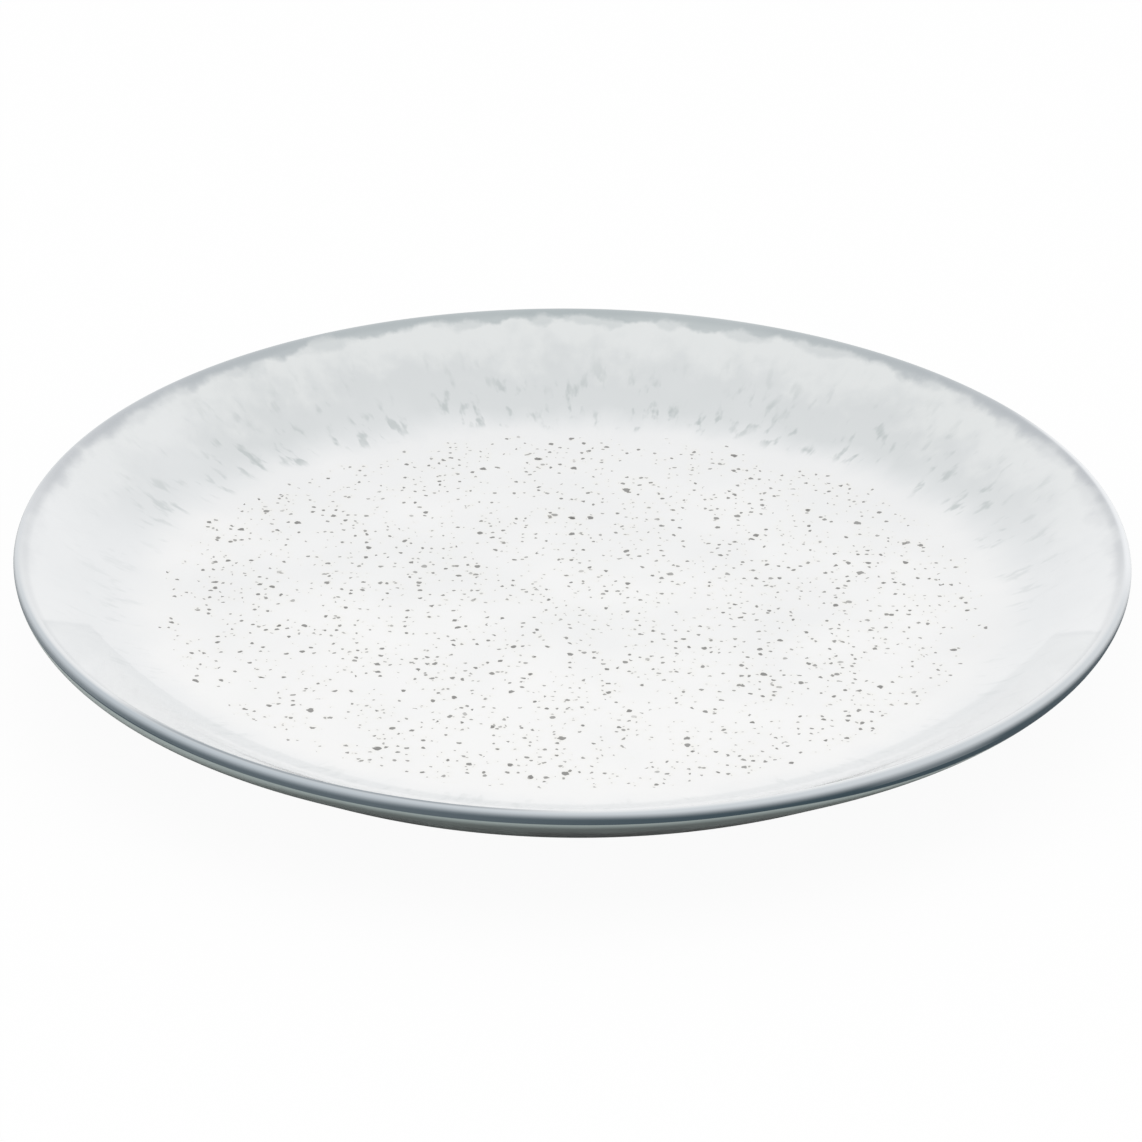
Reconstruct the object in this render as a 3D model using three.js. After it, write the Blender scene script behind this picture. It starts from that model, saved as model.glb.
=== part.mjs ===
// A round coupe dessert plate of glazed stoneware: one fired clay body with its foot ring, and the coats of glaze
// that were poured and dipped over it. Millimetres, +Z up. The foot stands on z = 0 and Z is the plate's axis.
// All sizes are of the finished plate, with the glaze on it.
import * as THREE from "three";

// The dish
const PLATE_DIAMETER = 200;
const WELL_DIAMETER = 156; // where the line of the wall would meet the floor
const WELL_DEPTH = 13.2; // from the top of the lip down to the floor
const FLOOR_THICKNESS = 5;
const SWEEP_RADIUS = 40; // the curve from the floor up into the wall
const LIP_RADIUS = 1.2; // the upper, tighter rounding of the lip
const LIP_UNDER_RADIUS = 4; // the softer rounding below it

// The foot ring
const FOOT_HEIGHT = 4; // from the ground to the underside of the floor
const FOOT_WIDTH = 6.5;
const FOOT_FILLET = 2; // hollow where the ring leaves the underside
const FOOT_EDGE = 1.2; // rounding of the ring's two lower edges

// The coats
const GLAZE = 0.45;
const CLEARANCE = 0.1; // keeps the flat facets of a coat off those of the clay
const SEAM = 0.15; // between neighbouring coats

// The edges of the coats, measured along the surface, each with the play of its ripple
const WELL_EDGE = 4.8; // up the sweep from the flat floor
const WELL_EDGE_PLAY = 2.3;
const LIP_BAND = 1.5; // down the wall from the lip's rounding
const LIP_BAND_PLAY = 0.9;
const LIP_HEM = 0.8; // under the plate's widest line
const LIP_HEM_PLAY = 0.45;
const BARE_FOOT = 1.1; // height of clay left unglazed above the ground

// Facets round the axis, and along the curves of the outline
const FACETS = 64;
const SWEEP_FACETS = 6;
const LIP_FACETS = 4;
const LIP_UNDER_FACETS = 4;
const FOOT_FACETS = 2;

// Heights and radii that follow from the sizes above
const RIM = PLATE_DIAMETER / 2;
const WELL = WELL_DIAMETER / 2;
const FLOOR_Z = FOOT_HEIGHT + FLOOR_THICKNESS;
const LIP_Z = FLOOR_Z + WELL_DEPTH - LIP_RADIUS; // the plate is widest at this height
const COAT = GLAZE + CLEARANCE;
const GROUND = -COAT; // where a coat on the foot's face would end, so that the clay itself ends on z = 0

// The wall is the straight line from the well's corner that touches the top of the lip.
const WALL_RUN = RIM - LIP_RADIUS - WELL;
const WALL_RISE = LIP_Z - FLOOR_Z;
const WALL_LENGTH = Math.sqrt(WALL_RUN ** 2 + WALL_RISE ** 2 - LIP_RADIUS ** 2);
const SLOPE = Math.atan2(WALL_RISE, WALL_RUN) + Math.atan2(LIP_RADIUS, WALL_LENGTH);
const WALL_THICKNESS = LIP_RADIUS * (1 + Math.sin(SLOPE)) + LIP_UNDER_RADIUS * (1 - Math.sin(SLOPE));

// The sweep takes the same reach off the floor and off the wall, at most two thirds of the wall.
const BEND = Math.tan(SLOPE / 2);
const SWEEP = Math.min(SWEEP_RADIUS, ((2 / 3) * WALL_LENGTH) / BEND);
const FLOOR = WELL - SWEEP * BEND;

// Underneath, the same bend is wider by the wall's thickness.
const OUTER_CORNER = WELL + (WALL_THICKNESS - FLOOR_THICKNESS * Math.cos(SLOPE)) / Math.sin(SLOPE);
const OUTER_SWEEP = SWEEP + WALL_THICKNESS;
const UNDERSIDE = OUTER_CORNER - OUTER_SWEEP * BEND;

// The foot stands at the edge of the flat underside.
const FOOT = UNDERSIDE - FOOT_FILLET;
const FOOT_INNER = FOOT - FOOT_WIDTH;
const RECESS = FOOT_INNER - FOOT_FILLET;

const QUARTER = Math.PI / 2;
const spot = (r, z) => new THREE.Vector2(r, z);
const line = (from, to) => new THREE.LineCurve(from, to);
const hollow = (r, z, radius, from, to) => new THREE.ArcCurve(r, z, radius, from, to, false);
const rounding = (r, z, radius, from, to) => new THREE.ArcCurve(r, z, radius, from, to, true);

// The outline of half the plate, at a depth under the finished surface. It runs from the middle of the well over the
// lip and back below to the middle of the foot recess, in stretches that meet without a corner.
function outlineAt(depth) {
  const sweep = hollow(FLOOR, FLOOR_Z + SWEEP, SWEEP + depth, -QUARTER, SLOPE - QUARTER);
  const lip = rounding(RIM - LIP_RADIUS, LIP_Z, LIP_RADIUS - depth, QUARTER + SLOPE, 0);
  const lipUnder = rounding(RIM - LIP_UNDER_RADIUS, LIP_Z, LIP_UNDER_RADIUS - depth, 0, SLOPE - QUARTER);
  const outerSweep = rounding(
    UNDERSIDE, FOOT_HEIGHT + OUTER_SWEEP, OUTER_SWEEP - depth, SLOPE - QUARTER, -QUARTER,
  );
  const hollowZ = FOOT_HEIGHT - FOOT_FILLET;
  const footHollow = hollow(UNDERSIDE, hollowZ, FOOT_FILLET + depth, QUARTER, 2 * QUARTER);
  const recessHollow = hollow(RECESS, hollowZ, FOOT_FILLET + depth, 0, QUARTER);
  const edgeZ = GROUND + FOOT_EDGE;
  const footEdge = rounding(FOOT - FOOT_EDGE, edgeZ, FOOT_EDGE - depth, 0, -QUARTER);
  const innerEdge = rounding(FOOT_INNER + FOOT_EDGE, edgeZ, FOOT_EDGE - depth, -QUARTER, -2 * QUARTER);
  return {
    floor: line(spot(0, FLOOR_Z - depth), sweep.getPoint(0)),
    sweep,
    wall: line(sweep.getPoint(1), lip.getPoint(0)),
    lip,
    lipUnder,
    outerWall: line(lipUnder.getPoint(1), outerSweep.getPoint(0)),
    outerSweep,
    footHollow,
    footSide: line(footHollow.getPoint(1), footEdge.getPoint(0)),
    footEdge,
    footFace: line(footEdge.getPoint(1), innerEdge.getPoint(0)),
    innerEdge,
    innerSide: line(innerEdge.getPoint(1), recessHollow.getPoint(0)),
    recessHollow,
    recess: line(recessHollow.getPoint(1), spot(0, FOOT_HEIGHT + depth)),
  };
}

const surface = outlineAt(0);
const coatBack = outlineAt(GLAZE);
const clay = outlineAt(COAT);

// A stop names a place on the outline, at whatever depth: a stretch and a share of it.
const stop = (stretch, share) => ({ stretch, share });
const pointAt = (outline) => ({ stretch, share }) => outline[stretch].getPoint(share);

// The evenly spaced stops of a stretch after its start
const along = (stretch, facets = 1) =>
  Array.from({ length: facets }, (_, i) => stop(stretch, (i + 1) / facets));

// A stop at a length along a stretch of the finished surface
const reach = (stretch, length) => stop(stretch, length / surface[stretch].getLength());

// Keeps the stops between two others of the same stretch, so that none falls past a coat's edge.
const between = (stops, low, high) => stops.filter(({ share }) => share > low && share < high);

// A slow ripple between -1 and 1 that closes on itself round the plate
const ripple = (turn, waves, phase) =>
  0.6 * Math.sin(waves * turn + phase) + 0.4 * Math.sin((2 * waves + 1) * turn + 2.3 * phase);

// The three coat edges that a pour leaves uneven. The well's is drawn out to the left and right, and the lip's hem
// hangs lower on the right.
function wellEdge(turn, gap = 0) {
  const wander = 0.3 * ripple(turn, 3, 1.1) - 0.7 * Math.cos(2 * turn);
  return reach("sweep", WELL_EDGE + WELL_EDGE_PLAY * wander + gap);
}

function lipBandEdge(turn, gap = 0) {
  const wallLength = surface.wall.getLength();
  return reach("wall", wallLength - LIP_BAND + LIP_BAND_PLAY * ripple(turn, 5, 0.4) + gap);
}

function lipHem(turn, gap = 0) {
  const wander = 0.3 * ripple(turn, 4, 2.6) + 0.7 * Math.sin(turn - 0.35);
  return reach("lipUnder", LIP_HEM + LIP_HEM_PLAY * wander + gap);
}

// The plain line above the foot's bare clay, as a share of the ring's two sides from the top down
const FOOT_LINE = (surface.footSide.v1.y - BARE_FOOT) / (surface.footSide.v1.y - surface.footSide.v2.y);

// Turns a profile round the axis. The profile may change with the turn, which starts at -Y, but keeps its points.
function lathe(profileAt) {
  const geometry = new THREE.LatheGeometry(profileAt(0), FACETS);
  const position = geometry.getAttribute("position");
  for (let column = 0; column <= FACETS; column++) {
    const turn = (2 * Math.PI * column) / FACETS;
    profileAt(turn).forEach(({ x, y }, row, profile) => {
      position.setXYZ(column * profile.length + row, x * Math.sin(turn), y, x * Math.cos(turn));
    });
  }
  geometry.rotateX(QUARTER);
  geometry.computeVertexNormals();
  return geometry;
}

function makeClayBody() {
  const stops = [
    stop("floor", 0),
    ...along("floor"),
    ...along("sweep", SWEEP_FACETS),
    ...along("wall"),
    ...along("lip", LIP_FACETS),
    ...along("lipUnder", LIP_UNDER_FACETS),
    ...along("outerWall"),
    ...along("outerSweep", SWEEP_FACETS),
    ...along("footHollow", FOOT_FACETS),
    ...along("footSide"),
    ...along("footEdge", FOOT_FACETS),
    ...along("footFace"),
    ...along("innerEdge", FOOT_FACETS),
    ...along("innerSide"),
    ...along("recessHollow", FOOT_FACETS),
    ...along("recess"),
  ];
  const profile = stops.map(pointAt(clay)).reverse();
  return lathe(() => profile);
}

// A coat covers the outline from its first stop to its last. The axis closes its profile where it starts or ends
// there, and otherwise the profile is a loop.
function makeCoat(stopsAt) {
  return lathe((turn) => {
    const back = stopsAt(turn).map(pointAt(coatBack));
    const front = stopsAt(turn).map(pointAt(surface)).reverse();
    if (back[0].x === 0) return [...back, ...front];
    if (front[0].x === 0) return [...front, ...back];
    return [...back, ...front, back[0]];
  });
}

const wellGlaze = () =>
  makeCoat((turn) => {
    const edge = wellEdge(turn);
    const low = reach("sweep", WELL_EDGE - WELL_EDGE_PLAY).share;
    return [stop("floor", 0), ...along("floor"), ...between(along("sweep", SWEEP_FACETS), 0, low), edge];
  });

const wallGlaze = () =>
  makeCoat((turn) => {
    const high = reach("sweep", WELL_EDGE + WELL_EDGE_PLAY + SEAM).share;
    const sweep = [...between(along("sweep", SWEEP_FACETS), high, 1), stop("sweep", 1)];
    return [wellEdge(turn, SEAM), ...sweep, lipBandEdge(turn)];
  });

const lipGlaze = () =>
  makeCoat((turn) => [lipBandEdge(turn, SEAM), ...along("wall"), ...along("lip", LIP_FACETS), lipHem(turn)]);

const undersideGlaze = () =>
  makeCoat((turn) => {
    const high = reach("lipUnder", LIP_HEM + LIP_HEM_PLAY + SEAM).share;
    return [
      lipHem(turn, SEAM),
      ...between(along("lipUnder", LIP_UNDER_FACETS), high, 1),
      stop("lipUnder", 1),
      ...along("outerWall"),
      ...along("outerSweep", SWEEP_FACETS),
      ...along("footHollow", FOOT_FACETS),
      stop("footSide", FOOT_LINE),
    ];
  });

const recessGlaze = () =>
  makeCoat(() => [
    stop("innerSide", 1 - FOOT_LINE),
    ...along("innerSide"),
    ...along("recessHollow", FOOT_FACETS),
    ...along("recess"),
  ]);

function finish(color, roughness) {
  return new THREE.MeshStandardMaterial({ color, roughness, metalness: 0 });
}

const bareClay = finish("#b7a48c", 0.85);
const whiteGlaze = finish("#f1f2f0", 0.12);
const paleGlaze = finish("#dadede", 0.14);
const slateGlaze = finish("#6d7a82", 0.16);
const mossGlaze = finish("#545c5b", 0.22);

const plate = new THREE.Group();

function add(name, geometry, material) {
  const mesh = new THREE.Mesh(geometry, material);
  mesh.name = name;
  plate.add(mesh);
}

add("stoneware_body", makeClayBody(), bareClay);
add("well_glaze", wellGlaze(), whiteGlaze);
add("wall_glaze", wallGlaze(), paleGlaze);
add("lip_glaze", lipGlaze(), slateGlaze);
add("underside_glaze", undersideGlaze(), mossGlaze);
add("foot_recess_glaze", recessGlaze(), mossGlaze);

export default plate;
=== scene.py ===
import math

import bpy
import numpy as np
from mathutils import Matrix


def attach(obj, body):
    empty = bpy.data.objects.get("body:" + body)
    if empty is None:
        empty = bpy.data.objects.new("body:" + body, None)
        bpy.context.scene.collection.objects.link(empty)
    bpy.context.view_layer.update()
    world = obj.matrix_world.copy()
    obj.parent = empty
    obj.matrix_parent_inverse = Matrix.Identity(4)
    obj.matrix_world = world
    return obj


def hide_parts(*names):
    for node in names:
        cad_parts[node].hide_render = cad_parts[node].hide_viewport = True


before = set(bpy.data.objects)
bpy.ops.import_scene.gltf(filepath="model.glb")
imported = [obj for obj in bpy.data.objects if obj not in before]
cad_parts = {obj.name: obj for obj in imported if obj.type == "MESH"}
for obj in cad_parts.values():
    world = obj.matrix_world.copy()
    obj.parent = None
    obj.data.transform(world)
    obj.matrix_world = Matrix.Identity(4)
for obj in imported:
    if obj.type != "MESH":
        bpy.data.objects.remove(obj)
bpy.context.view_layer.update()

MM = 0.001

# Sizes of the finished plate in millimetres, the same as in the solids
PLATE_DIAMETER = 200.0
WELL_DIAMETER = 156.0  # where the line of the wall would meet the floor
WELL_DEPTH = 13.2
FLOOR_THICKNESS = 5.0
SWEEP = 40.0  # radius of the curve from the floor up into the wall
LIP_RADIUS = 1.2
LIP_UNDER_RADIUS = 4.0
FOOT_HEIGHT = 4.0
FOOT_WIDTH = 6.5
FOOT_FILLET = 2.0
FOOT_EDGE = 1.2
COAT = 0.55  # depth of the clay under the finished surface
ROOT = 0.6  # depth of a coat's back, sunk a little into the clay

# The edges of the coats, measured along the surface, each with the play of its ripple
WELL_EDGE = 4.8  # up the sweep from the flat floor
WELL_EDGE_PLAY = 2.3
LIP_BAND = 1.5  # down the wall from the lip's rounding
LIP_BAND_PLAY = 0.9
LIP_HEM = 0.8  # under the plate's widest line
LIP_HEM_PLAY = 0.45
HEM_LOWEST = 1.92  # the turn where the hem hangs lowest, in radians
BARE_FOOT = 1.1  # height of clay left unglazed above the ground

# Heights, radii and angles that follow from the sizes
RIM = PLATE_DIAMETER / 2
WELL = WELL_DIAMETER / 2
FLOOR_Z = FOOT_HEIGHT + FLOOR_THICKNESS
LIP_Z = FLOOR_Z + WELL_DEPTH - LIP_RADIUS
GROUND = -COAT  # where a coat on the foot's face would end, so that the clay itself ends on z = 0
WALL_RUN = RIM - LIP_RADIUS - WELL
WALL_RISE = LIP_Z - FLOOR_Z
WALL_LENGTH = math.sqrt(WALL_RUN**2 + WALL_RISE**2 - LIP_RADIUS**2)
SLOPE = math.atan2(WALL_RISE, WALL_RUN) + math.atan2(LIP_RADIUS, WALL_LENGTH)
WALL_THICKNESS = LIP_RADIUS * (1 + math.sin(SLOPE)) + LIP_UNDER_RADIUS * (1 - math.sin(SLOPE))
BEND = math.tan(SLOPE / 2)
FLOOR = WELL - SWEEP * BEND
OUTER_CORNER = WELL + (WALL_THICKNESS - FLOOR_THICKNESS * math.cos(SLOPE)) / math.sin(SLOPE)
OUTER_SWEEP = SWEEP + WALL_THICKNESS
UNDERSIDE = OUTER_CORNER - OUTER_SWEEP * BEND
FOOT = UNDERSIDE - FOOT_FILLET
FOOT_INNER = FOOT - FOOT_WIDTH
RECESS = FOOT_INNER - FOOT_FILLET

# Fineness of the meshes
COLUMNS = 384
OUTLINE_STEP = 0.02  # millimetres between the points that sample the outline
ROLL_STEPS = 6  # along a glaze edge that rolls down to the clay
CLAY_ROWS = 160  # of the clay body from the middle of the well down to the foot
FOOT_ROWS = 60  # round the bare foot
RECESS_ROWS = 40  # inside the foot ring

# The pieces' maps, as shares of a map: the margin at a strip's ends, the one above and below it,
# the middle and half width of a disc, and those of its hidden side in a corner
STRIP_END = 0.01
STRIP_GAP = 0.03
DISC_MIDDLE = 0.5
DISC_HALF = 0.49
CORNER_MIDDLE = 0.07
CORNER_HALF = 0.06

# The height on the map of a row that doesn't show, against one that does
COAT_BACK = 0.1
BURIED_CLAY = 0.05

QUARTER = math.pi / 2
TURNS = np.arange(COLUMNS) * 2 * math.pi / COLUMNS
ROLL = np.linspace(0, QUARTER, ROLL_STEPS + 1)[1:]


def line(start, end):
    count = max(2, round(math.dist(start, end) / OUTLINE_STEP))
    return np.linspace(start, end, count)


def arc(r, z, radius, start, end):
    count = max(2, round(radius * abs(end - start) / OUTLINE_STEP))
    angle = np.linspace(start, end, count)
    return np.stack([r + radius * np.cos(angle), z + radius * np.sin(angle)], axis=1)


def make_stretches():
    """The outline of half the plate, from the middle of the well over the lip to the middle of the
    foot recess."""
    hollow_z = FOOT_HEIGHT - FOOT_FILLET
    edge_z = GROUND + FOOT_EDGE
    sweep = arc(FLOOR, FLOOR_Z + SWEEP, SWEEP, -QUARTER, SLOPE - QUARTER)
    lip = arc(RIM - LIP_RADIUS, LIP_Z, LIP_RADIUS, QUARTER + SLOPE, 0)
    lip_under = arc(RIM - LIP_UNDER_RADIUS, LIP_Z, LIP_UNDER_RADIUS, 0, SLOPE - QUARTER)
    outer_sweep = arc(UNDERSIDE, FOOT_HEIGHT + OUTER_SWEEP, OUTER_SWEEP, SLOPE - QUARTER, -QUARTER)
    foot_hollow = arc(UNDERSIDE, hollow_z, FOOT_FILLET, QUARTER, 2 * QUARTER)
    foot_edge = arc(FOOT - FOOT_EDGE, edge_z, FOOT_EDGE, 0, -QUARTER)
    inner_edge = arc(FOOT_INNER + FOOT_EDGE, edge_z, FOOT_EDGE, -QUARTER, -2 * QUARTER)
    recess_hollow = arc(RECESS, hollow_z, FOOT_FILLET, 0, QUARTER)
    return {
        "floor": line((0, FLOOR_Z), sweep[0]),
        "sweep": sweep,
        "wall": line(sweep[-1], lip[0]),
        "lip": lip,
        "lip_under": lip_under,
        "outer_wall": line(lip_under[-1], outer_sweep[0]),
        "outer_sweep": outer_sweep,
        "foot_hollow": foot_hollow,
        "foot_side": line(foot_hollow[-1], foot_edge[0]),
        "foot_edge": foot_edge,
        "foot_face": line(foot_edge[-1], inner_edge[0]),
        "inner_edge": inner_edge,
        "inner_side": line(inner_edge[-1], recess_hollow[0]),
        "recess_hollow": recess_hollow,
        "recess": line(recess_hollow[-1], (0, FOOT_HEIGHT)),
    }


def join(stretches):
    """The points of all the stretches, how far along the outline each one is, and where each
    stretch starts."""
    points = np.concatenate([stretch[:-1] for stretch in stretches.values()] + [[(0, FOOT_HEIGHT)]])
    steps = np.linalg.norm(np.diff(points, axis=0), axis=1)
    reach = np.concatenate([[0], np.cumsum(steps)])
    counts = [len(stretch) - 1 for stretch in stretches.values()]
    firsts = np.cumsum([0] + counts[:-1])
    return points, reach, dict(zip(stretches, reach[firsts]))


OUTLINE, REACH, STARTS = join(make_stretches())
END = REACH[-1]


def on_outline(reach):
    """Radius and height of the finished surface at a reach along the outline."""
    return np.interp(reach, REACH, OUTLINE[:, 0]), np.interp(reach, REACH, OUTLINE[:, 1])


def outward(reach):
    """The direction out of the finished surface, in the plane of the outline."""
    r_before, z_before = on_outline(reach - 2 * OUTLINE_STEP)
    r_after, z_after = on_outline(reach + 2 * OUTLINE_STEP)
    size = np.hypot(r_after - r_before, z_after - z_before)
    return (z_before - z_after) / size, (r_after - r_before) / size


def ripple(waves, phase):
    """A slow ripple between -1 and 1 that closes on itself round the plate."""
    return 0.6 * np.sin(waves * TURNS + phase) + 0.4 * np.sin((2 * waves + 1) * TURNS + 2.3 * phase)


# Where the coats end, as a reach along the outline at each turn
MIDDLE = np.zeros(COLUMNS)
WELL_WANDER = 0.3 * ripple(3, 1.1) - 0.7 * np.cos(2 * TURNS)
WELL_END = STARTS["sweep"] + WELL_EDGE + WELL_EDGE_PLAY * WELL_WANDER
WALL_END = STARTS["lip"] - LIP_BAND + LIP_BAND_PLAY * ripple(5, 0.4)
HEM_WANDER = 0.3 * ripple(4, 2.6) + 0.7 * np.cos(TURNS - HEM_LOWEST)
LIP_END = STARTS["lip_under"] + LIP_HEM + LIP_HEM_PLAY * HEM_WANDER
BARE_SIDE = BARE_FOOT - GROUND - FOOT_EDGE  # the straight part of the bare clay on the foot's sides
UNDERSIDE_END = MIDDLE + STARTS["foot_edge"] - BARE_SIDE
RECESS_START = MIDDLE + STARTS["inner_side"] + BARE_SIDE
RECESS_MIDDLE = MIDDLE + END


def turned(r, z):
    """Points or directions in the plane of the outline, one row of them for each turn, turned round
    the axis."""
    turn = TURNS[:, None]
    return np.stack([r * np.sin(turn), -r * np.cos(turn), z + 0 * turn], axis=-1)


def skin(name, points, normals, closed, chart):
    """A mesh over columns of points. Each column is a closed loop, or runs from the axis to the
    axis. The chart says where the corners of the faces, given by column and row, lie on the piece's
    map."""
    rows = points.shape[1]
    index = np.arange(COLUMNS * rows).reshape(COLUMNS, rows)
    if not closed:
        index[:, 0] = index[0, 0]
        index[:, -1] = index[0, -1]
    used, index = np.unique(index, return_inverse=True)
    index = index.reshape(COLUMNS, rows)
    faces = []
    places = []
    for column in range(COLUMNS):
        for row in range(rows if closed else rows - 1):
            corners = {}
            for over, up in ((0, 0), (0, 1), (1, 1), (1, 0)):
                vertex = index[(column + over) % COLUMNS, (row + up) % rows]
                corners.setdefault(int(vertex), (column, row, over, up))
            faces.append(list(corners))
            places.extend(corners.values())
    mesh = bpy.data.meshes.new(name)
    mesh.from_pydata(points.reshape(-1, 3)[used] * MM, [], faces)
    spots = chart(*np.array(places).T).astype(np.float32)
    mesh.uv_layers.new(name="OFBake").uv.foreach_set("vector", spots.ravel())
    mesh.shade_smooth()
    mesh.normals_split_custom_set_from_vertices(normals.reshape(-1, 3)[used])
    piece = bpy.data.objects.new(name, mesh)
    bpy.context.scene.collection.objects.link(piece)
    return piece


def strips(count, heights):
    """A chart that cuts a ring into strips, one above the other. The list says how high each row
    is on it."""
    levels = np.concatenate([[0], np.cumsum(heights)])
    across = COLUMNS / count

    def chart(column, row, over, up):
        strip = column // across
        u = (column - strip * across + over) / across
        v = levels[row + up] / levels[-1]
        u = STRIP_END + (1 - 2 * STRIP_END) * u
        v = STRIP_GAP + (1 - 2 * STRIP_GAP) * v
        return np.stack([u, (strip + v) / count], axis=1)

    return chart


def disc(points, shown):
    """A chart that shows a disc from above, with the rows that don't show small in a corner."""
    size = np.abs(points[..., :2]).max()

    def chart(column, row, over, up):
        rows = points.shape[1]
        spot = points[(column + over) % COLUMNS, (row + up) % rows, :2] / size
        front = DISC_MIDDLE + DISC_HALF * spot
        hidden = CORNER_MIDDLE + CORNER_HALF * spot
        return np.where(shown[row][:, None], front, hidden)

    return chart


def make_coat(name, start, end, rows, cuts=1):
    """A coat of glaze on the clay between two edges. Its front is the finished surface, and rolls
    down to the clay where it meets the bare foot."""
    rolled_start = start is RECESS_START
    rolled_end = end is UNDERSIDE_END
    first = start[:, None] + COAT * rolled_start
    last = end[:, None] - COAT * rolled_end
    reach = first + (last - first) * np.linspace(0, 1, rows)
    roll = np.zeros(rows)
    if rolled_start:
        reach = np.hstack([np.repeat(first, len(ROLL), axis=1), reach])
        roll = np.concatenate([-ROLL[::-1], roll])
    if rolled_end:
        reach = np.hstack([reach, np.repeat(last, len(ROLL), axis=1)])
        roll = np.concatenate([roll, ROLL])
    r, z = on_outline(reach)
    out_r, out_z = outward(reach)
    on_r, on_z = out_z, -out_r
    r = r + COAT * np.sin(roll) * on_r
    z = z + COAT * np.sin(roll) * on_z
    drop = COAT * (1 - np.cos(roll))
    front = turned(r - drop * out_r, z - drop * out_z)
    back = turned(r - ROOT * out_r, z - ROOT * out_z)[:, ::-1]
    normal_r = out_r * np.cos(roll) + on_r * np.sin(roll)
    normal_z = out_z * np.cos(roll) + on_z * np.sin(roll)
    front_normal = turned(normal_r, normal_z)
    back_normal = turned(-out_r, -out_z)[:, ::-1]
    shown = np.arange(2 * len(roll)) < len(roll) - 1
    if end is RECESS_MIDDLE:
        points = np.hstack([back, front])
        normals = np.hstack([back_normal, front_normal])
        return skin(name, points, normals, False, disc(points, np.roll(shown, len(roll))))
    points = np.hstack([front, back])
    normals = np.hstack([front_normal, back_normal])
    if start is MIDDLE:
        return skin(name, points, normals, False, disc(points, shown))
    return skin(name, points, normals, True, strips(cuts, np.where(shown, 1, COAT_BACK)))


def make_clay(name):
    """The clay body, with its rows close together round the foot, where it shows."""
    foot_start = STARTS["foot_side"]
    foot_end = STARTS["recess_hollow"]
    reach = np.concatenate([
        np.linspace(0, foot_start, CLAY_ROWS, endpoint=False),
        np.linspace(foot_start, foot_end, FOOT_ROWS, endpoint=False),
        np.linspace(foot_end, END, RECESS_ROWS),
    ])
    shown = (reach >= foot_start) & (reach < foot_end)
    r, z = on_outline(reach[None, :])
    out_r, out_z = outward(reach[None, :])
    points = turned(r - COAT * out_r, z - COAT * out_z)
    chart = strips(count=6, heights=np.where(shown, 1, BURIED_CLAY))
    return skin(name, points, turned(out_r, out_z), False, chart)


clay = make_clay("clay_body")
well = make_coat("well_coat", MIDDLE, WELL_END, rows=48)
wall = make_coat("wall_coat", WELL_END, WALL_END, rows=48, cuts=4)
lip = make_coat("lip_coat", WALL_END, LIP_END, rows=40, cuts=8)
underside = make_coat("underside_coat", LIP_END, UNDERSIDE_END, rows=96, cuts=3)
recess = make_coat("recess_coat", RECESS_START, RECESS_MIDDLE, rows=60)


# Grains in a glaze or clay: their soft edge and the ring round them in millimetres, how far the
# smallest cover what is under them, and what the largest cover beyond that
GRAIN_BLUR = 0.08
RING_WIDTH = 1.2
GRAIN_COVER = 0.31
GRAIN_COVER_GAIN = 0.49


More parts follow.
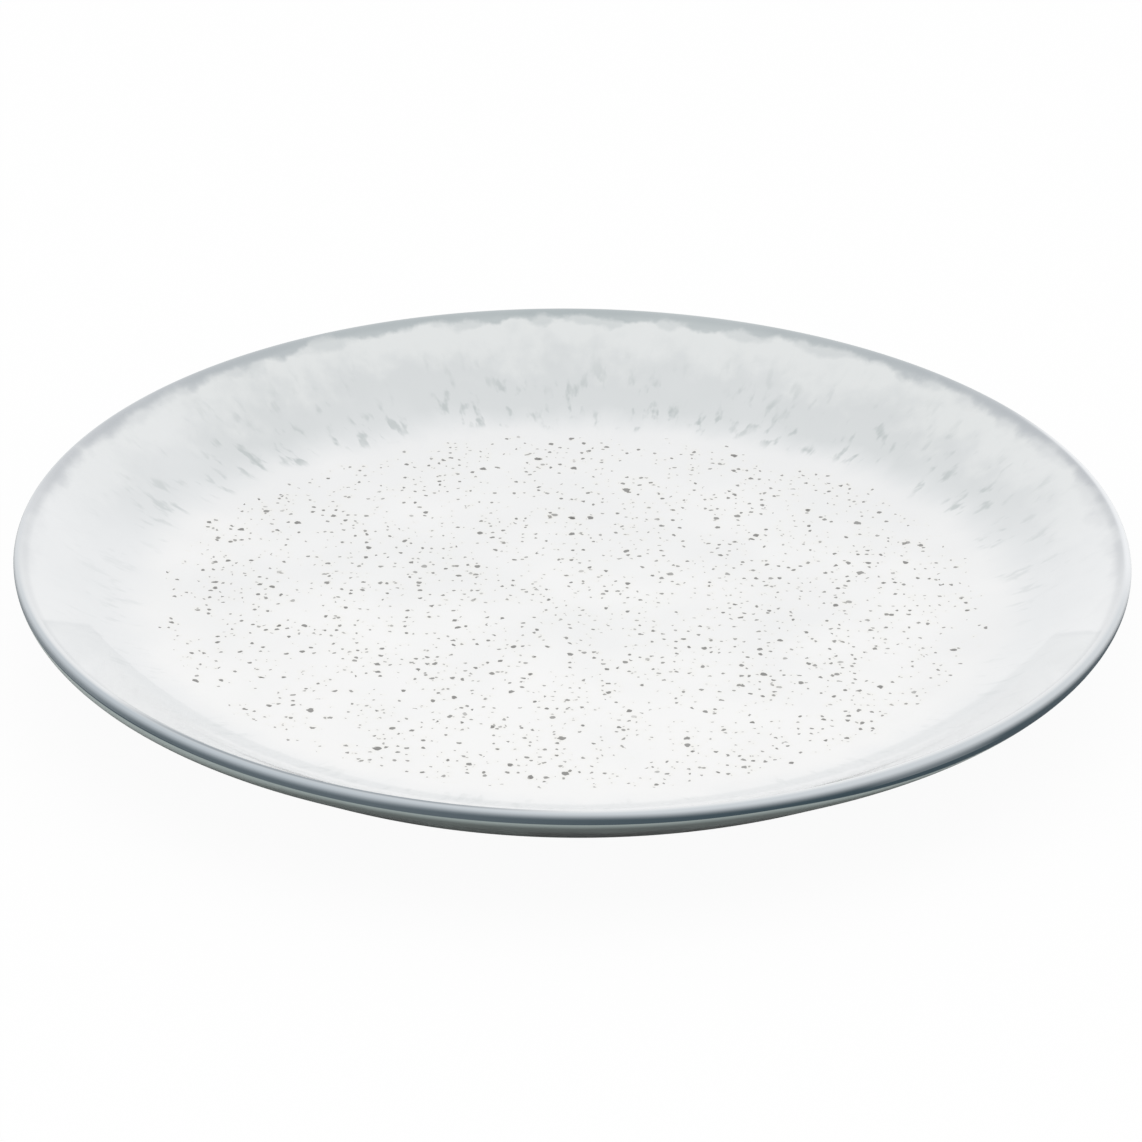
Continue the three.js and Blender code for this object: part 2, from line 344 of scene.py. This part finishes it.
class Look:
    """A material in the making, with short names for its nodes. Places and sizes in it are in
    millimetres."""

    def __init__(self, name):
        self.material = bpy.data.materials.new(name)
        self.material.use_nodes = True
        self.tree = self.material.node_tree
        self.shader = self.tree.nodes["Principled BSDF"]
        spot = self.add("ShaderNodeTexCoord").outputs["Object"]
        self.place = self.vector("SCALE", spot, scale=1 / MM)
        self.flat = self.vector("MULTIPLY", self.place, (1, 1, 0))
        self.radius = self.vector("LENGTH", self.flat)
        self.side = self.vector("NORMALIZE", self.flat)
        self.height = self.part(self.place, "Z")

    def add(self, kind, **settings):
        node = self.tree.nodes.new(kind)
        for name, value in settings.items():
            setattr(node, name, value)
        return node

    def put(self, socket, value):
        """Links an output to a socket, or sets the socket to a plain value."""
        if isinstance(value, bpy.types.NodeSocket):
            self.tree.links.new(value, socket)
        elif socket.type == "RGBA":
            socket.default_value = (*value, 1)
        else:
            socket.default_value = value

    def math(self, operation, *values):
        node = self.add("ShaderNodeMath", operation=operation)
        for socket, value in zip(node.inputs, values):
            self.put(socket, value)
        return node.outputs[0]

    def times(self, first, *others):
        for other in others:
            first = self.math("MULTIPLY", first, other)
        return first

    def minus(self, first, second):
        return self.math("SUBTRACT", first, second)

    def scaled(self, value, factor, offset):
        """The value times a factor, plus an offset."""
        return self.math("MULTIPLY_ADD", value, factor, offset)

    def vector(self, operation, first, second=None, scale=None):
        node = self.add("ShaderNodeVectorMath", operation=operation)
        self.put(node.inputs[0], first)
        if second is not None:
            self.put(node.inputs[1], second)
        if scale is not None:
            self.put(node.inputs["Scale"], scale)
        return node.outputs["Value" if operation in ("LENGTH", "DOT_PRODUCT") else "Vector"]

    def part(self, vector, axis):
        node = self.add("ShaderNodeSeparateXYZ")
        self.put(node.inputs[0], vector)
        return node.outputs[axis]

    def ramp(self, value, low, high):
        """Goes smoothly from 0 at low to 1 at high, whichever of the two is larger."""
        node = self.add("ShaderNodeMapRange", interpolation_type="SMOOTHSTEP")
        self.put(node.inputs["Value"], value)
        self.put(node.inputs["From Min"], low)
        self.put(node.inputs["From Max"], high)
        return node.outputs["Result"]

    def toward(self, turn):
        """How far a place lies toward a turn round the plate: 1 there and -1 on the other side."""
        return self.vector("DOT_PRODUCT", self.side, (math.sin(turn), -math.cos(turn), 0))

    def about(self, turn, start, full):
        """Goes smoothly from 0 to 1 on the way to a turn, between two cosines of the angle from
        it."""
        return self.ramp(self.toward(turn), start, full)

    def mix(self, share, first, second):
        node = self.add("ShaderNodeMix", data_type="RGBA")
        self.put(node.inputs[0], share)
        self.put(node.inputs[6], first)
        self.put(node.inputs[7], second)
        return node.outputs[2]

    def noise(self, place, size, detail=2.0):
        """Noise between 0 and 1 in patches of about this size."""
        node = self.add("ShaderNodeTexNoise")
        self.put(node.inputs["Vector"], place)
        self.put(node.inputs["Scale"], 1 / size)
        self.put(node.inputs["Detail"], detail)
        return node.outputs[0]

    def shaken(self, place, size, reach):
        """The place moved about by up to reach, so that what is drawn there gets uneven edges."""
        node = self.add("ShaderNodeTexNoise")
        self.put(node.inputs["Vector"], place)
        self.put(node.inputs["Scale"], 1 / size)
        move = self.vector("SUBTRACT", node.outputs[1], (0.5, 0.5, 0.5))
        return self.vector("ADD", place, self.vector("SCALE", move, scale=2 * reach))

    def round_place(self, stretch):
        """A place that runs round the plate at the wall, and is drawn out from the middle
        outwards."""
        rise = self.add("ShaderNodeCombineXYZ")
        self.put(rise.inputs["Z"], self.math("DIVIDE", self.radius, stretch))
        return self.vector("ADD", self.vector("SCALE", self.side, scale=RIM), rise.outputs[0])

    def grains(self, place, cell, least, most, share, dimensions="3D"):
        """Grains of random size, one at most in a cell: how far they cover a place, and a faint
        ring round them."""
        node = self.add("ShaderNodeTexVoronoi", voronoi_dimensions=dimensions)
        self.put(node.inputs["Vector"], place)
        self.put(node.inputs["Scale"], 1 / cell)
        chance = self.add("ShaderNodeSeparateColor")
        self.put(chance.inputs[0], node.outputs["Color"])
        growth = chance.outputs[0]
        size = self.scaled(self.math("POWER", growth, 2.0), most - least, least)
        past = self.minus(self.times(node.outputs["Distance"], cell), size)
        kept = self.math("LESS_THAN", chance.outputs[1], share)
        cover = self.scaled(growth, GRAIN_COVER_GAIN, GRAIN_COVER)
        grain = self.times(self.ramp(past, GRAIN_BLUR, -GRAIN_BLUR), kept, cover)
        ring = self.times(self.ramp(past, RING_WIDTH, 0.0), kept)
        return grain, ring

    def bump(self, height, depth):
        node = self.add("ShaderNodeBump")
        self.put(node.inputs["Height"], height)
        self.put(node.inputs["Distance"], depth * MM)
        self.put(self.shader.inputs["Normal"], node.outputs[0])

    def finish(self, colour, roughness):
        self.put(self.shader.inputs["Base Color"], colour)
        self.put(self.shader.inputs["Roughness"], roughness)
        return self.material


# The well: white at the front, cooler and greyer at the back, the grey a painted fall-off of the
# light from the front, icy up the wall, and its specks with their rings
WHITE = (0.905, 0.905, 0.902)
COOL_SHADED_WHITE = (0.838, 0.844, 0.848)
ICE_WHITE = (0.855, 0.872, 0.892)
IRON = (0.045, 0.042, 0.036)
CREAM = (0.84, 0.82, 0.74)

# The wall and its runs
PALE = (0.682, 0.706, 0.713)
PALE_LIGHT = (0.762, 0.782, 0.782)
RUN = (0.505, 0.545, 0.547)

# The lip: the band at the back and at the sides, the line inside, the crest and the slate
BAND = (0.47, 0.515, 0.525)
BAND_SIDE = (0.50, 0.52, 0.555)
SHADE = (0.15, 0.19, 0.225)
CREST = (0.47, 0.52, 0.56)
SLATE = (0.013, 0.041, 0.059)

# The underside: its glaze, a pale hem that is thin glaze and also a painted reflection of the lit
# floor, painted shade lower down, and spots
MOSS = (0.085, 0.105, 0.10)
MOSS_PALE_AND_SHEEN = (0.34, 0.40, 0.39)
MOSS_SHADED = (0.026, 0.034, 0.033)
MOSS_SPOT = (0.07, 0.088, 0.084)

# The bare clay
CLAY = (0.47, 0.37, 0.26)
CLAY_LIGHT = (0.56, 0.46, 0.34)
CLAY_SPECK = (0.16, 0.11, 0.07)

# What changes on the way round the plate: the turn where it is most, in radians from the front, and
# the cosines of the angles from there at which it starts and is full
FRONT = (0, -0.2, 0.7)
WALL_HEAPED_AND_SHADED = (3.05, -0.05, 0.75)
BAND_THICKEST = (3.05, -0.45, 0.7)
LIP_PALEST = (1.75, 0.9, 0.975)
LINE_DARKEST = (-0.45, 0.88, 0.985)
CREST_DARKEST = (-0.8, 0.6, 1.0)
SLATE_EARLIEST = (-0.08, 0.965, 1.0)
SLATE_LATEST = (1.1, 0.55, 0.9)
SLATE_FULLEST = (0.3, 0.28, 0.5)
SLATE_DARKEST = (0.8, 0.4, 1.0)
SLATE_THINNEST = (0.66, 0.985, 1.0)
SLATE_LOWEST = (1.2, 0.6, 1.05)
HEM_THINNEST = (-1.1, 0.75, 1.0)

# The edge of the white in millimetres from the axis, how far it wanders out, and how far it is
# drawn out to the left and right
WHITE_EDGE = WELL - 11.0
WHITE_EDGE_PLAY = 8.0
WHITE_EDGE_SIDES = 5.0

# The specks in three layers: the cell that holds one, its least and greatest radius, and the share
# of cells with one
SPECKS = (
    (2.1, 0.12, 0.4, 0.9),
    (3.4, 0.22, 0.54, 0.58),
    (11.0, 0.4, 0.76, 0.5),
)
SPECK_CROWDS = (0.28, 0.62)  # levels of noise at which specks begin and are crowded
SPECK_FADE = (1.0, 4.0)  # millimetres inside the white's edge, for the same
RING_SHARE = 0.15

# The wall, in millimetres outside the white's edge where its glaze and its runs start and are full,
# and where the runs end. Its light clouds start and are full by a radius that noise lifts.
WALL_START = (-1.5, 9.0)
RUNS_START = (0.5, 3.5)
RUNS_END = (24.0, 5.0)
RUN_LEVELS = (0.52, 0.70)
RUN_GROUPS = (0.40, 0.57)
CLOUDS_START = (RIM + 1.5, RIM + 11.5)
CLOUD_LIFT = 22.0
MOTTLE_LIFT = 11.0
ICE_SHARE = 0.6

# The band under the lip in two layers: how far it covers, where its edge starts and how far the
# edge wanders
BANDS = (
    (0.35, RIM - 8.5, 9.0),
    (0.85, RIM - 6.8, 7.0),
)
BAND_BLUR = (-0.4, 0.8)

# The lip, in millimetres before its widest line: where its colours start and are full, and by how
# much the slate starts later or earlier in places
ICE_START = (-2.8, -2.3)
CREST_START = (-2.6, -1.7)
SLATE_START = (-1.6, 0.1)
SLATE_DELAY = 0.45
SLATE_ADVANCE = 0.22
LINE_START = (RIM - 3.2, RIM - 2.1)  # this one by radius
LINE_END = (-1.8, -2.5)

# The underside, in millimetres: the height of the hem and its sag under the slate, how far below it
# the glaze is pale, partly as a painted reflection of the lit floor, and where it is dark with
# painted shade, each with what it gains where the hem thins, and the heights between which it turns
# pale again on the foot
HEM_Z = LIP_Z - 0.7
HEM_SAG = 2.1
HEM_PALE_SHEEN = 1.2
HEM_PALE_SHEEN_GAIN = 1.6
HEM_SHADE = 3.2
HEM_SHADE_GAIN = 2.0
FOOT_PALE = (1.9, 1.2)


def add_specks(look, colour, edge):
    """Iron grains melted into the white, crowded in places, from the finest to a few large
    ones."""
    inside = look.ramp(look.minus(edge, look.radius), *SPECK_FADE)
    crowd = look.ramp(look.noise(look.flat, size=9.0, detail=3.0), *SPECK_CROWDS)
    uneven = look.shaken(look.flat, size=1.1, reach=0.55)
    for cell, least, most, share in SPECKS:
        chance = look.times(crowd, inside, share)
        grain, ring = look.grains(uneven, cell, least, most, chance, "2D")
        colour = look.mix(look.times(ring, RING_SHARE), colour, CREAM)
        colour = look.mix(grain, colour, IRON)
    return colour


def add_wall(look, colour, edge, heap_and_shade):
    """The pale glaze of the wall. It is lighter in clouds under the lip, and has darker runs where
    it thins out."""
    climb = look.minus(look.radius, edge)
    clouds = look.noise(look.round_place(stretch=1.0), size=10.0, detail=4.0)
    mottle = look.noise(look.flat, size=3.0, detail=4.0)
    lift = look.scaled(clouds, CLOUD_LIFT, look.radius)
    lift = look.scaled(mottle, MOTTLE_LIFT, lift)
    pale = look.mix(look.ramp(lift, *CLOUDS_START), PALE, PALE_LIGHT)
    covered = look.ramp(climb, *WALL_START)
    colour = look.mix(look.times(covered, ICE_SHARE), colour, ICE_WHITE)
    # the pale glaze where heaped, which toward +Y also stands in as painted shade
    colour = look.mix(look.times(covered, heap_and_shade), colour, pale)
    runs = look.noise(look.round_place(stretch=1.8), size=2.4, detail=2.5)
    groups = look.noise(look.round_place(stretch=1.0), size=8.0)
    runs = look.times(look.ramp(runs, *RUN_LEVELS), look.ramp(groups, *RUN_GROUPS))
    low = look.times(look.ramp(climb, *RUNS_START), look.ramp(climb, *RUNS_END))
    thick = look.minus(heap_and_shade, 0.05)
    return look.mix(look.times(runs, low, thick), colour, RUN)


def add_slate(look, colour, over, remains):
    """The dark slate outside the lip, which starts higher or lower and is fuller or thinner as it
    goes round. The second result is where it lies."""
    begun = look.scaled(look.about(*SLATE_LATEST), -SLATE_DELAY, over)
    begun = look.scaled(look.about(*SLATE_EARLIEST), SLATE_ADVANCE, begun)
    outside = look.ramp(begun, *SLATE_START)
    full = look.scaled(look.about(*SLATE_FULLEST), 0.2, 0.8)
    dark = look.scaled(look.about(*SLATE_DARKEST), 0.15, 0.85)
    gap = look.scaled(look.about(*SLATE_THINNEST), -0.2, 1.0)
    share = look.times(full, dark, gap)
    return look.mix(look.times(outside, share, remains), colour, SLATE), outside


def add_lip(look, colour, rim, sides):
    """The ragged band under the lip, the line along its inner edge, a light crest, and the slate
    outside. The second result is where the slate lies."""
    tint = look.mix(sides, BAND, BAND_SIDE)
    blur = look.scaled(sides, 1.2, 1.0)
    for share, start, play in BANDS:
        wander = look.noise(look.round_place(stretch=0.9), size=play, detail=4.0)
        ragged = look.scaled(wander, play, start)
        past = look.math("DIVIDE", look.minus(look.radius, ragged), blur)
        colour = look.mix(look.times(look.ramp(past, *BAND_BLUR), rim, share), colour, tint)
    over = look.minus(look.radius, look.height)
    over = look.minus(over, RIM - LIP_Z)  # rises over the lip to 0 at the widest line
    # the lip is paler toward the right side: icier, with less crest and slate there
    paler = look.about(*LIP_PALEST)
    remains = look.scaled(paler, -0.9, 1.0)
    colour = look.mix(look.times(look.ramp(over, *ICE_START), paler), colour, ICE_WHITE)
    crest = look.scaled(look.about(*FRONT), 0.45, 0.25)
    crest = look.scaled(look.about(*CREST_DARKEST), 0.3, crest)
    colour = look.mix(look.times(look.ramp(over, *CREST_START), crest, remains), colour, CREST)
    inner = look.times(look.ramp(look.radius, *LINE_START), look.ramp(over, *LINE_END))
    depth = look.scaled(look.about(*LINE_DARKEST), 0.75, 0.12)
    colour = look.mix(look.times(inner, depth), colour, SHADE)
    return add_slate(look, colour, over, remains)


def reactive_glaze():
    """The glaze inside and over the lip, glossy, and satin on the slate outside. Its coloured part
    ran down more on the +Y side of the wall, and covers more there also as painted shade, that side
    of the wall darker."""
    look = Look("reactive_glaze")
    clouds = look.noise(look.flat, size=26.0)
    # the well is painted greyer toward +Y, a painted fall-off of the light from the front, over
    # clouds of tone
    back = look.scaled(look.part(look.place, "Y"), 0.004, clouds)
    colour = look.mix(look.ramp(back, 0.2, 0.8), WHITE, COOL_SHADED_WHITE)
    across = look.part(look.side, "X")
    sides = look.times(across, across)
    wander = look.noise(look.round_place(stretch=1.6), size=9.0, detail=4.0)
    edge = look.scaled(wander, WHITE_EDGE_PLAY, WHITE_EDGE)
    edge = look.scaled(sides, WHITE_EDGE_SIDES, edge)
    uneven = look.scaled(look.noise(look.round_place(stretch=1.0), size=22.0), 0.9, 0.55)
    # more pale glaze toward +Y: partly heaped glaze and partly painted shade, that side of the wall
    # darker
    heap_and_shade = look.times(look.scaled(look.about(*WALL_HEAPED_AND_SHADED), 0.78, 0.22), uneven)
    rim = look.times(look.about(*BAND_THICKEST), uneven)
    colour = add_specks(look, colour, edge)
    colour = add_wall(look, colour, edge, heap_and_shade)
    colour, slate = add_lip(look, colour, rim, sides)
    rough = look.scaled(clouds, 0.06, 0.02)
    rough = look.scaled(slate, 0.55, rough)
    look.bump(look.noise(look.place, size=9.0), depth=0.02)
    return look.finish(colour, rough)


def moss_glaze():
    """The satin dark glaze underneath, mottled, darker further below the hem as painted shade, and
    pale where it thins at the hem and on the foot, the hem's pale also a painted reflection of the
    lit floor. The slate of the lip runs on over it where the hem hangs low."""
    look = Look("moss_glaze")
    clouds = look.noise(look.place, size=11.0, detail=4.0)
    hem = look.scaled(look.about(*SLATE_LOWEST), -HEM_SAG, HEM_Z)
    below = look.minus(hem, look.height)
    paler = look.about(*HEM_THINNEST)
    pale_sheen_to = look.scaled(paler, HEM_PALE_SHEEN_GAIN, HEM_PALE_SHEEN)
    shade_from = look.scaled(paler, HEM_SHADE_GAIN, HEM_SHADE)
    colour = look.mix(look.ramp(clouds, 0.42, 0.66), MOSS_SHADED, MOSS_SPOT)
    # darker further below the hem: painted shade on the underside that faces down to the floor
    colour = look.mix(look.ramp(below, shade_from, 0.8), colour, MOSS)
    # pale just under the hem: thin glaze, and also a painted reflection of the lit floor
    colour = look.mix(look.ramp(below, pale_sheen_to, -0.2), colour, MOSS_PALE_AND_SHEEN)
    slate = look.ramp(below, 0.1, -0.15)
    colour = look.mix(slate, colour, SLATE)
    colour = look.mix(look.times(look.ramp(look.height, *FOOT_PALE), 0.5), colour, MOSS_PALE_AND_SHEEN)
    look.bump(look.noise(look.place, size=5.0), depth=0.04)
    rough = look.scaled(clouds, 0.15, 0.28)
    rough = look.scaled(slate, 0.3, rough)
    return look.finish(colour, rough)


def bare_clay():
    """The fired stoneware that shows on the foot."""
    look = Look("bare_clay")
    grit = look.noise(look.place, size=0.6, detail=4.0)
    colour = look.mix(look.ramp(grit, 0.35, 0.65), CLAY, CLAY_LIGHT)
    uneven = look.shaken(look.place, size=0.4, reach=0.2)
    speck, _ = look.grains(uneven, cell=1.8, least=0.05, most=0.3, share=0.5)
    colour = look.mix(speck, colour, CLAY_SPECK)
    look.bump(grit, depth=0.06)
    return look.finish(colour, look.scaled(grit, 0.2, 0.7))


def dress(piece, node, material):
    piece.data.materials.append(material)
    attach(piece, "root")
    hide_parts(node)


glaze = reactive_glaze()
moss = moss_glaze()
dress(clay, "stoneware_body", bare_clay())
dress(well, "well_glaze", glaze)
dress(wall, "wall_glaze", glaze)
dress(lip, "lip_glaze", glaze)
dress(underside, "underside_glaze", moss)
dress(recess, "foot_recess_glaze", moss)

# The photograph's camera: a long lens a metre from the middle of the lip's circle
CAMERA_AWAY = 1.0
CAMERA_LENS = 175.56
CAMERA_SENSOR = 36
CAMERA_ELEVATION = math.radians(26.99)
CAMERA_DIP = math.radians(0.276)  # it aims a little below the lip's middle
CAMERA_YAW = math.radians(0.016)
CAMERA_ROLL = math.radians(0.54)

# The studio in metres
LAMP_SIZE = 1.2
LAMP_PLACE = (0, -0.2, 1.2)
LAMP_POWER = 4.2
STUDIO_LIGHT = 0.8  # strength of the world as a light, where 1 is how it looks
FLOOR_HALF = 6.0
FLOOR_COLOUR = (0.93, 0.93, 0.93, 1)
FLOOR_LIFT = 0.95  # how far the camera sees the floor lightened
FLOOR_NEAR = 130.0  # millimetres from the axis where reflections start to see it lightened
FLOOR_FAR = 500.0  # and where it is plain white to them and to the camera


def make_camera():
    data = bpy.data.cameras.new("camera")
    data.sensor_width = CAMERA_SENSOR
    data.lens = CAMERA_LENS
    camera = bpy.data.objects.new("camera", data)
    back = -CAMERA_AWAY * math.cos(CAMERA_ELEVATION)
    up = LIP_Z * MM + CAMERA_AWAY * math.sin(CAMERA_ELEVATION)
    yaw = Matrix.Rotation(CAMERA_YAW, 4, "Z")
    tilt = Matrix.Rotation(QUARTER - CAMERA_ELEVATION - CAMERA_DIP, 4, "X")
    roll = Matrix.Rotation(CAMERA_ROLL, 4, "Z")
    camera.matrix_world = Matrix.Translation((0, back, up)) @ yaw @ tilt @ roll
    bpy.context.scene.collection.objects.link(camera)
    bpy.context.scene.camera = camera


def make_lamp():
    """A wide soft box above the plate, too soft to see in the glaze."""
    data = bpy.data.lights.new("soft_box", "AREA")
    data.size = LAMP_SIZE
    data.energy = LAMP_POWER
    lamp = bpy.data.objects.new("soft_box", data)
    lamp.location = LAMP_PLACE
    lamp.visible_glossy = False
    bpy.context.scene.collection.objects.link(lamp)


def seen_rays(nodes, links):
    """How far a ray shows the background: 1 from the camera, in a reflection or through glass. The
    second result is 1 from the camera alone."""
    rays = nodes.new("ShaderNodeLightPath")
    seen = rays.outputs["Is Camera Ray"]
    for name in ("Is Glossy Ray", "Is Transmission Ray"):
        either = nodes.new("ShaderNodeMath")
        either.operation = "MAXIMUM"
        links.new(seen, either.inputs[0])
        links.new(rays.outputs[name], either.inputs[1])
        seen = either.outputs[0]
    return seen, rays.outputs["Is Camera Ray"]


def make_floor():
    """A plain white floor. Close to the plate only the camera sees it lightened, and not fully, so
    that some of the plate's shadow stays."""
    mesh = bpy.data.meshes.new("floor")
    corners = [(x * FLOOR_HALF, y * FLOOR_HALF, 0) for x, y in ((-1, -1), (1, -1), (1, 1), (-1, 1))]
    mesh.from_pydata(corners, [], [(0, 1, 2, 3)])
    floor = bpy.data.objects.new("floor", mesh)
    bpy.context.scene.collection.objects.link(floor)
    look = Look("floor")
    nodes = look.tree.nodes
    links = look.tree.links
    nodes.remove(look.shader)
    seen, camera = seen_rays(nodes, links)
    far = look.ramp(look.radius, FLOOR_NEAR, FLOOR_FAR)
    share = look.math("MAXIMUM", look.times(camera, FLOOR_LIFT), look.times(seen, far))
    diffuse = nodes.new("ShaderNodeBsdfDiffuse")
    diffuse.inputs["Color"].default_value = FLOOR_COLOUR
    white = nodes.new("ShaderNodeEmission")
    mixed = nodes.new("ShaderNodeMixShader")
    links.new(share, mixed.inputs[0])
    links.new(diffuse.outputs[0], mixed.inputs[1])
    links.new(white.outputs[0], mixed.inputs[2])
    links.new(mixed.outputs[0], nodes["Material Output"].inputs["Surface"])
    mesh.materials.append(look.material)


def make_world():
    """An even white studio, a little dimmer as a light than it looks."""
    world = bpy.data.worlds.new("studio")
    bpy.context.scene.world = world
    world.use_nodes = True
    nodes = world.node_tree.nodes
    links = world.node_tree.links
    light = nodes["Background"]
    light.inputs["Color"].default_value = (1, 1, 1, 1)
    light.inputs["Strength"].default_value = STUDIO_LIGHT
    white = nodes.new("ShaderNodeBackground")
    white.inputs["Color"].default_value = (1, 1, 1, 1)
    mixed = nodes.new("ShaderNodeMixShader")
    links.new(seen_rays(nodes, links)[0], mixed.inputs[0])
    links.new(light.outputs[0], mixed.inputs[1])
    links.new(white.outputs[0], mixed.inputs[2])
    links.new(mixed.outputs[0], nodes["World Output"].inputs["Surface"])


make_camera()
make_lamp()
make_floor()
make_world()
bpy.context.scene.view_settings.view_transform = "Standard"
